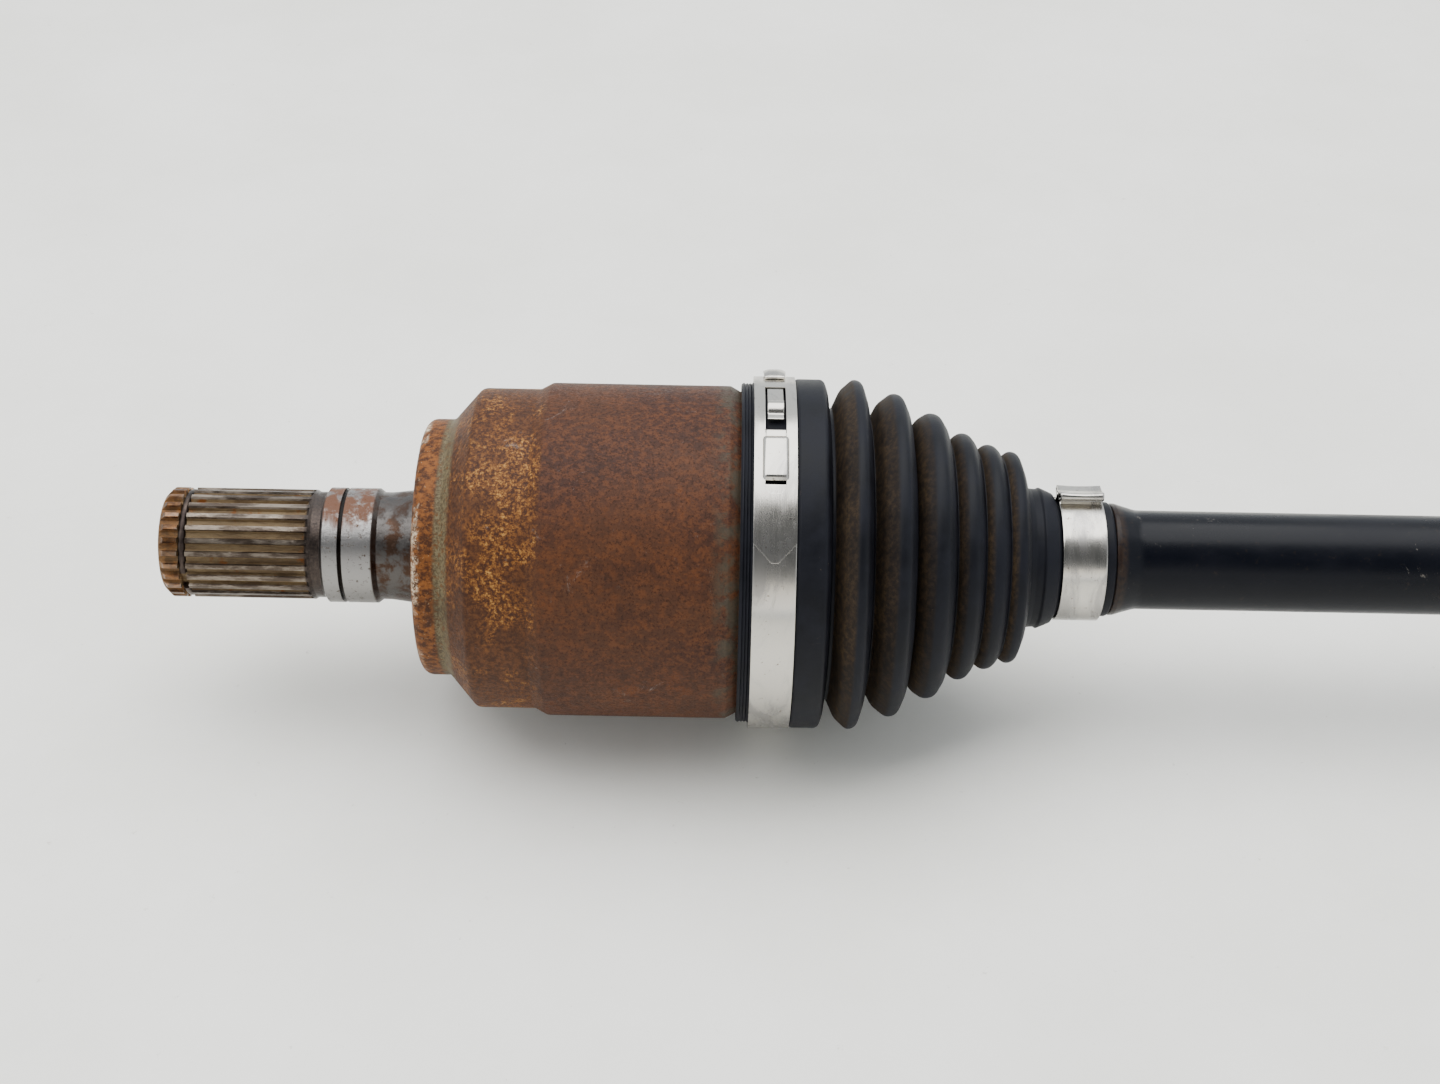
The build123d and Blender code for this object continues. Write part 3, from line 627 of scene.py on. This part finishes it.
def make_boot(name, band, small_band):
    """One bellows boot in two pieces that meet in a valley.

    band and small_band are CAD nodes.
    """
    low, high = span(name)
    band_low, band_high = span(band)
    small_low, small_high = span(small_band)
    direction = 1 if band_low.x < small_low.x else -1
    lip = low.x if direction > 0 else high.x
    end = high.x if direction > 0 else low.x
    band_near = band_low.x if direction > 0 else band_high.x
    band_far = band_high.x if direction > 0 else band_low.x
    small_near = small_low.x if direction > 0 else small_high.x
    small_far = small_high.x if direction > 0 else small_low.x
    land = -band_low.z - BAND_DEPTH
    cuff = land + CUFF_RISE
    bore = land - LAND_WALL
    bellows = band_far + direction * CUFF_LENGTH[name]
    neck = small_near - direction * NECK_LENGTH
    length = abs(neck - bellows)
    small_land = -small_low.z - SMALL_BAND_DEPTH
    small_bore = small_land - SMALL_LAND_WALL

    def at(base, step, radius, rounding=0.0):
        return (base + direction * step, radius, rounding)

    folds, split = fold_points(bellows, length, cuff - BELLOWS_END_RADIUS, direction)
    start = [at(lip, 0, bore), at(lip, 0, land - 0.5, 0.2), at(lip, 0.4, land - 0.15, 0.2)]
    for ridge in range(LIP_RIDGES):
        start.append(at(lip, 0.7 + RIDGE_STEP * ridge, land - 0.1, 0.15))
        start.append(at(lip, 1.0 + RIDGE_STEP * ridge, land - 0.42, 0.15))
    start += [at(band_near, -0.1, land - 0.05, 0.1), at(band_near, 0.1, land),
              at(band_far, -0.1, land), at(band_far, 0.15, cuff - 0.25, 0.3),
              at(band_far, 0.9, cuff, 0.6), at(bellows, -0.6, cuff, 1.6),
              at(bellows, 0.2, cuff - 2.4, 2.0)]
    tail = [at(neck, 0.9, 17.6, 0.8), at(neck, 2.6, 17.5, 0.8), at(neck, 3.2, 17.9, 0.5),
            at(neck, 4.6, 17.3, 1.0), at(small_near, -1.2, 16.5, 0.6),
            at(small_near, -0.2, small_land + 0.5, 0.4), at(small_near, 0.2, small_land),
            at(small_far, -0.1, small_land), at(small_far, 0.3, small_land + 0.1, 0.3),
            at(end, -0.6, small_land + 0.05, 0.5), at(end, 0, small_land - 0.5, 0.3),
            at(end, 0, small_bore)]
    outside_a = rounded(start + folds[:split + 1])
    outside_b = rounded([folds[split]] + folds[split + 1:] + tail)
    inner_a = [at(lip, 0, bore), at(bellows, -CUFF_SHOULDER, bore),
               at(bellows, -0.8, folds[0][1] - WALL)]
    inner_a += [(x, r - WALL * LARGE_WALL_SHARE) for x, r, _ in folds[:split]]
    inner_a += [(folds[split][0], folds[split][1] - WALL)]
    inner_b = [(folds[split][0], folds[split][1] - WALL)]
    inner_b += [(x, r - WALL * SMALL_WALL_SHARE) for x, r, _ in folds[split + 1:]]
    inner_b += [at(small_near, -2.0, small_bore), at(end, 0, small_bore)]
    loop_a = outside_a + [point[:2] for point in inner_a[::-1]][:-1]
    loop_b = outside_b + [point[:2] for point in inner_b[::-1]][1:]
    made = []
    for side, loop in (("a", loop_a), ("b", loop_b)):
        piece = turned(f"{name}_{side}", loop[::-direction], rubber)
        boot_dust(piece, bellows, length, direction)
        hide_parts(name)
        made.append(piece)
    large_piece, small_piece = made
    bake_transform(large_piece)
    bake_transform(small_piece)


# ---------------------------------------------------------------- bands

# Places round the large band, in degrees from the front towards the top.
RING_START, RING_END = -232, 128
LAP_TIP, LAP_CORNER, LAP_END = 37.0, 43.0, 131      # the lapped strip starts in a V
SLOT_LOW, SLOT_HIGH = 58.4, 63.0
SLOT_ROUND, SLOT_ROUND_SPAN = 61.5, 3.1             # the slot's lower end is round
RING_SLOT_LOW = 61.3
DIMPLE_HIGH = 62.0
CHANNEL_HIGH, CHANNEL_SLOPE = 78.0, 0.8
LIP_LOW, LIP_HIGH = 78.2, 81.0
WINDOW_LOW, WINDOW_HIGH = 78.6, 106.0
RING_WINDOW_LATER = 2       # the ring's window starts this much after the lapped strip's
TONGUE_LOW, TONGUE_HIGH = 86.5, 107.5
TONGUE_STEP, TONGUE_STEP_HALF = 92.5, 3.2
HOOK_LOW, HOOK_HIGH = 114.6, 128.4
HOOK_MIDDLE, HOOK_HALF = 121.5, 7.0
# Heights and half widths of the large band's features, in millimetres.
STRIP = 0.6
LAP_STRIP = 0.42
LAP_HEIGHT = 0.42           # of the lapped strip, above the CAD band
CHANNEL_HEIGHT = 0.75
V_FLAT = 0.8                # half width of the V's blunt tip
RING_SLOT_HALF, RING_WINDOW_HALF = 2.3, 2.5
LAP_SLOT_HALF, LAP_WINDOW_HALF = 2.45, 2.55
CHANNEL_HALF, CHANNEL_EDGE = 2.9, 0.5
# Places round the small band, counted from its ear, and its sheets.
EAR_ANGLE = 111.0
SMALL_RING_BACK, SMALL_RING_GAP = 340, 8
SMALL_LAP = 24
SMALL_LAP_SHARE = 0.55      # width of the lapped end, as a share of the band's
SMALL_STRIP, SMALL_LAP_STRIP, SMALL_LAP_BEVEL, EAR_STRIP = 0.55, 0.4, 0.1, 0.5
EAR_BOW = 0.6               # how far the ear's crown sags at the middle of the band


def large_band(node, body):
    """Low-profile band: closed ring, lapped strip with window, channel and slot, and a hook."""
    low, high = span(node)
    outer = -low.z
    middle = (low.x + high.x) / 2
    half = (high.x - low.x) / 2
    lap = outer + LAP_HEIGHT
    pieces = []

    def strip(part, angles, radius_at, kept=None, width=half, step=0.3, thickness=STRIP):
        along = spread(middle - width, middle + width, step)
        pieces.append(patch(f"{node}_{part}", stainless, along, angles, radius_at, kept,
                            thickness))

    def ring_kept(x, angle):
        across = abs(x - middle)
        if RING_SLOT_LOW < angle < SLOT_HIGH and across < RING_SLOT_HALF:
            return False
        in_window = WINDOW_LOW + RING_WINDOW_LATER < angle < WINDOW_HIGH
        return not (in_window and across < RING_WINDOW_HALF)

    def lap_radius(x, angle):
        side = clamped((CHANNEL_HALF - abs(x - middle)) / CHANNEL_EDGE)
        rise = max(0.0, min(1.0, (angle - SLOT_HIGH) / CHANNEL_SLOPE,
                            (CHANNEL_HIGH - angle) / CHANNEL_SLOPE))
        return lap + CHANNEL_HEIGHT * side * rise

    def lap_kept(x, angle):
        across = abs(x - middle)
        edge = LAP_TIP + (LAP_CORNER - LAP_TIP) * max(0.0, (across - V_FLAT) / (half - V_FLAT))
        if angle < edge:
            return False
        round_end = 1
        if angle < SLOT_ROUND:
            round_end = sqrt(clamped(1 - ((SLOT_ROUND - angle) / SLOT_ROUND_SPAN)**2))
        if across < LAP_SLOT_HALF * round_end and SLOT_LOW < angle < SLOT_HIGH:
            return False
        return not (across < LAP_WINDOW_HALF and WINDOW_LOW < angle < WINDOW_HIGH)

    def tongue_radius(x, angle):
        step = max(0.0, 1 - ((angle - TONGUE_STEP) / TONGUE_STEP_HALF)**2)
        return lap - 0.4 + 1.5 * step

    def dimple_radius(x, angle):
        depth = 0.75 * (angle - SLOT_LOW) / (DIMPLE_HIGH - SLOT_LOW)
        return lap - 0.2 - depth - 0.05 * (x - middle)**2

    def hook_radius(x, angle):
        roll = max(0.0, 1 - ((angle - HOOK_MIDDLE) / HOOK_HALF)**2)
        edge = max(0.0, 1 - (abs(x - middle) / 2.5)**4)
        return lap + 0.25 + 1.25 * sqrt(roll) * (0.55 + 0.45 * edge)

    # the closed ring under everything, then the strip lapped over it, from its V to the hook
    strip("ring", spread(RING_START, RING_END, 0.7), lambda x, angle: outer - 0.02, ring_kept,
          step=0.5)
    strip("lap", spread(LAP_TIP, LAP_END, 0.4), lap_radius, lap_kept, step=0.2,
          thickness=LAP_STRIP)
    # the tongue in the window with its pressed step, and the lip before it
    strip("tongue", spread(TONGUE_LOW, TONGUE_HIGH, 0.5), tongue_radius, width=1.95,
          thickness=0.5)
    strip("lip", spread(LIP_LOW, LIP_HIGH, 0.4), lambda x, angle: lap + 0.25, width=2.4, step=0.4,
          thickness=0.4)
    # the pressed dimple under the slot, and the hook over the tongue's end
    strip("dimple", spread(SLOT_LOW, DIMPLE_HIGH, 0.4), dimple_radius, width=2.3, thickness=0.3)
    strip("hook", spread(HOOK_LOW, HOOK_HIGH, 0.5), hook_radius, width=2.4, thickness=0.8)
    for piece in pieces:
        finish_band(piece, node, body)


def finish_band(piece, node, body):
    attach(piece, body)
    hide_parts(node)


def ear_section(radius):
    """The pinched ear's path across the band, as (sideways, out) points."""
    corners = [(-6.0, radius - 1.1, 0), (-3.0, radius + 0.1, 1.0), (-2.2, radius + 1.1, 0.8),
               (-4.2, radius + 1.6, 1.2), (-3.7, radius + 3.5, 1.6), (0.0, radius + 2.9, 4.0),
               (3.7, radius + 3.5, 1.6), (4.2, radius + 1.6, 1.2), (2.2, radius + 1.1, 0.8),
               (3.0, radius + 0.1, 1.0), (6.0, radius - 1.1, 0)]
    return rounded(corners, 7)


def small_band(node, body):
    """Pinch band: the strip, its lapped end, and the ear standing on it."""
    low, high = span(node)
    outer = -low.z
    middle = (low.x + high.x) / 2
    half = (high.x - low.x) / 2
    along = spread(middle - half, middle + half, 0.5)
    ring = patch(f"{node}_ring", stainless, along,
                 spread(EAR_ANGLE - SMALL_RING_BACK, EAR_ANGLE - SMALL_RING_GAP, 2.0),
                 lambda x, angle: outer - 0.02, None, SMALL_STRIP)
    lap_half = half * SMALL_LAP_SHARE
    lap = patch(f"{node}_lap", stainless, spread(middle - lap_half, middle + lap_half, 0.5),
                spread(EAR_ANGLE - SMALL_LAP, EAR_ANGLE + SMALL_LAP, 2.0),
                lambda x, angle: outer - 0.1, None, SMALL_LAP_STRIP, SMALL_LAP_BEVEL)
    section = ear_section(outer)
    vertices, faces = [], []
    up = radians(EAR_ANGLE)
    for x in along:
        bow = EAR_BOW * (1 - ((x - middle) / half)**2)
        for sideways, out in section:
            lift = out - bow * max(0.0, (out - outer - 2.5) / 2)
            y = -lift * cos(up) + sideways * sin(up)
            z = lift * sin(up) + sideways * cos(up)
            vertices.append((x * MM, y * MM, z * MM))
    count = len(section)
    for row in range(len(along) - 1):
        for k in range(count - 1):
            corner = row * count + k
            faces.append((corner, corner + count, corner + count + 1, corner + 1))
    ear = new_mesh(f"{node}_ear", vertices, faces, stainless)
    thicken(ear, EAR_STRIP, 0)
    for piece in (ring, lap, ear):
        finish_band(piece, node, body)


# ---------------------------------------------------------------- floor, light, camera

def stage_look(name, light, dark, scale):
    look = Look(name)
    cloud = look.noise(scale, 8, 0.65)
    speck = look.noise(scale * 30, 6, 0.7, shift=3.0)
    colour = look.mix(look.remap(cloud, 0.3, 0.7), tint(*light), tint(*dark))
    colour = look.mix(look.math("MULTIPLY", look.remap(speck, 0.66, 0.74), 0.35), colour,
                      tint(150, 142, 128))
    return look.finish(colour, 0.6, 0.0, look.bump(speck, 0.05))


FLOOR_WIDE, FLOOR_DEEP = 3.0, 2.0       # half sizes, in metres
FLOOR_GAP = 0.0002
ROOM_LIGHT, DIM_LIGHT = 1.3, 0.14
DIM_HEIGHT = 48.0           # the dim patch's middle is this high, in degrees, in front
DIM_EDGE, DIM_CORE = 0.72, 0.95         # cosines of the angles that its edge fades between
CAMERA_DISTANCE, CAMERA_LIFT = 0.508, 0.0025        # in metres
CAMERA_ROLL = 1.08          # in degrees


def make_stage():
    """A pale floor that the axle lies on."""
    low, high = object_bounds()
    middle, level = (low.x + high.x) / 2, low.z - FLOOR_GAP
    corners = [(middle - FLOOR_WIDE, -FLOOR_DEEP, level), (middle + FLOOR_WIDE, -FLOOR_DEEP, level),
               (middle + FLOOR_WIDE, FLOOR_DEEP, level), (middle - FLOOR_WIDE, FLOOR_DEEP, level)]
    look = stage_look("stage_floor", (250, 248, 241), (240, 238, 229), 9)
    new_mesh("stage_floor", corners, [(0, 1, 2, 3)], look)


def area_light(name, place, target, size, power, colour=(1, 1, 1)):
    data = bpy.data.lights.new(name, "AREA")
    data.shape = "RECTANGLE"
    data.size, data.size_y = size
    data.energy = power
    data.color = colour
    light = bpy.data.objects.new(name, data)
    light.location = place
    light.rotation_euler = (Vector(target) - Vector(place)).to_track_quat("-Z", "Y").to_euler()
    bpy.context.scene.collection.objects.link(light)


def make_light(aim):
    """Soft room light that is dim in front, which darkens the middles of the bright bands."""
    world = bpy.data.worlds.new("soft_room")
    bpy.context.scene.world = world
    world.use_nodes = True
    nodes, links = world.node_tree.nodes, world.node_tree.links
    direction = nodes.new("ShaderNodeTexCoord")
    facing = nodes.new("ShaderNodeVectorMath")
    facing.operation = "DOT_PRODUCT"
    facing.inputs[1].default_value = (0, -cos(radians(DIM_HEIGHT)), sin(radians(DIM_HEIGHT)))
    links.new(direction.outputs["Generated"], facing.inputs[0])
    patch_edge = nodes.new("ShaderNodeMapRange")
    patch_edge.inputs["From Min"].default_value = DIM_EDGE
    patch_edge.inputs["From Max"].default_value = DIM_CORE
    patch_edge.inputs["To Min"].default_value = ROOM_LIGHT
    patch_edge.inputs["To Max"].default_value = DIM_LIGHT
    links.new(facing.outputs["Value"], patch_edge.inputs["Value"])
    background = nodes["Background"]
    background.inputs["Color"].default_value = (0.90, 0.95, 1.0, 1)
    links.new(patch_edge.outputs["Result"], background.inputs["Strength"])
    area_light("light_top", (aim.x - 0.1, 0.2, 1.2), (aim.x, 0.0, 0.0), (2.2, 1.2), 34.0)
    area_light("light_low", (aim.x, -1.6, 0.35), (aim.x, 0.0, 0.0), (1.6, 0.5), 2.5,
               (1.0, 0.92, 0.78))


def make_camera(aim):
    """A view from the front and above, with a 50 mm lens on a 36 mm frame."""
    data = bpy.data.cameras.new("camera")
    data.lens = 50.0
    data.sensor_width = 36.0
    tilt, roll = radians(FRONT_VIEW), radians(CAMERA_ROLL)
    back = Vector((0, -cos(tilt), sin(tilt)))
    up = Vector((0, sin(tilt), cos(tilt)))
    target = aim + up * CAMERA_LIFT
    camera = bpy.data.objects.new("camera", data)
    camera.location = target + back * CAMERA_DISTANCE
    level = (-back).to_track_quat("-Z", "Y").to_matrix().to_4x4()
    camera.rotation_euler = (level @ Matrix.Rotation(roll, 4, "Z")).to_euler()
    bpy.context.scene.collection.objects.link(camera)
    bpy.context.scene.camera = camera


VIEW_CENTRE = BOSS + 73.9
aim = Vector((VIEW_CENTRE * MM, 0, 0))
make_camera(aim)
dress_cad_nodes()
make_boot("inner_boot", "inner_large_band", "inner_small_band")
make_boot("outer_boot", "outer_large_band", "outer_small_band")
large_band("inner_large_band", "inner_housing")
large_band("outer_large_band", "outer_bell")
small_band("inner_small_band", "shaft")
small_band("outer_small_band", "shaft")
make_stage()
make_light(aim)
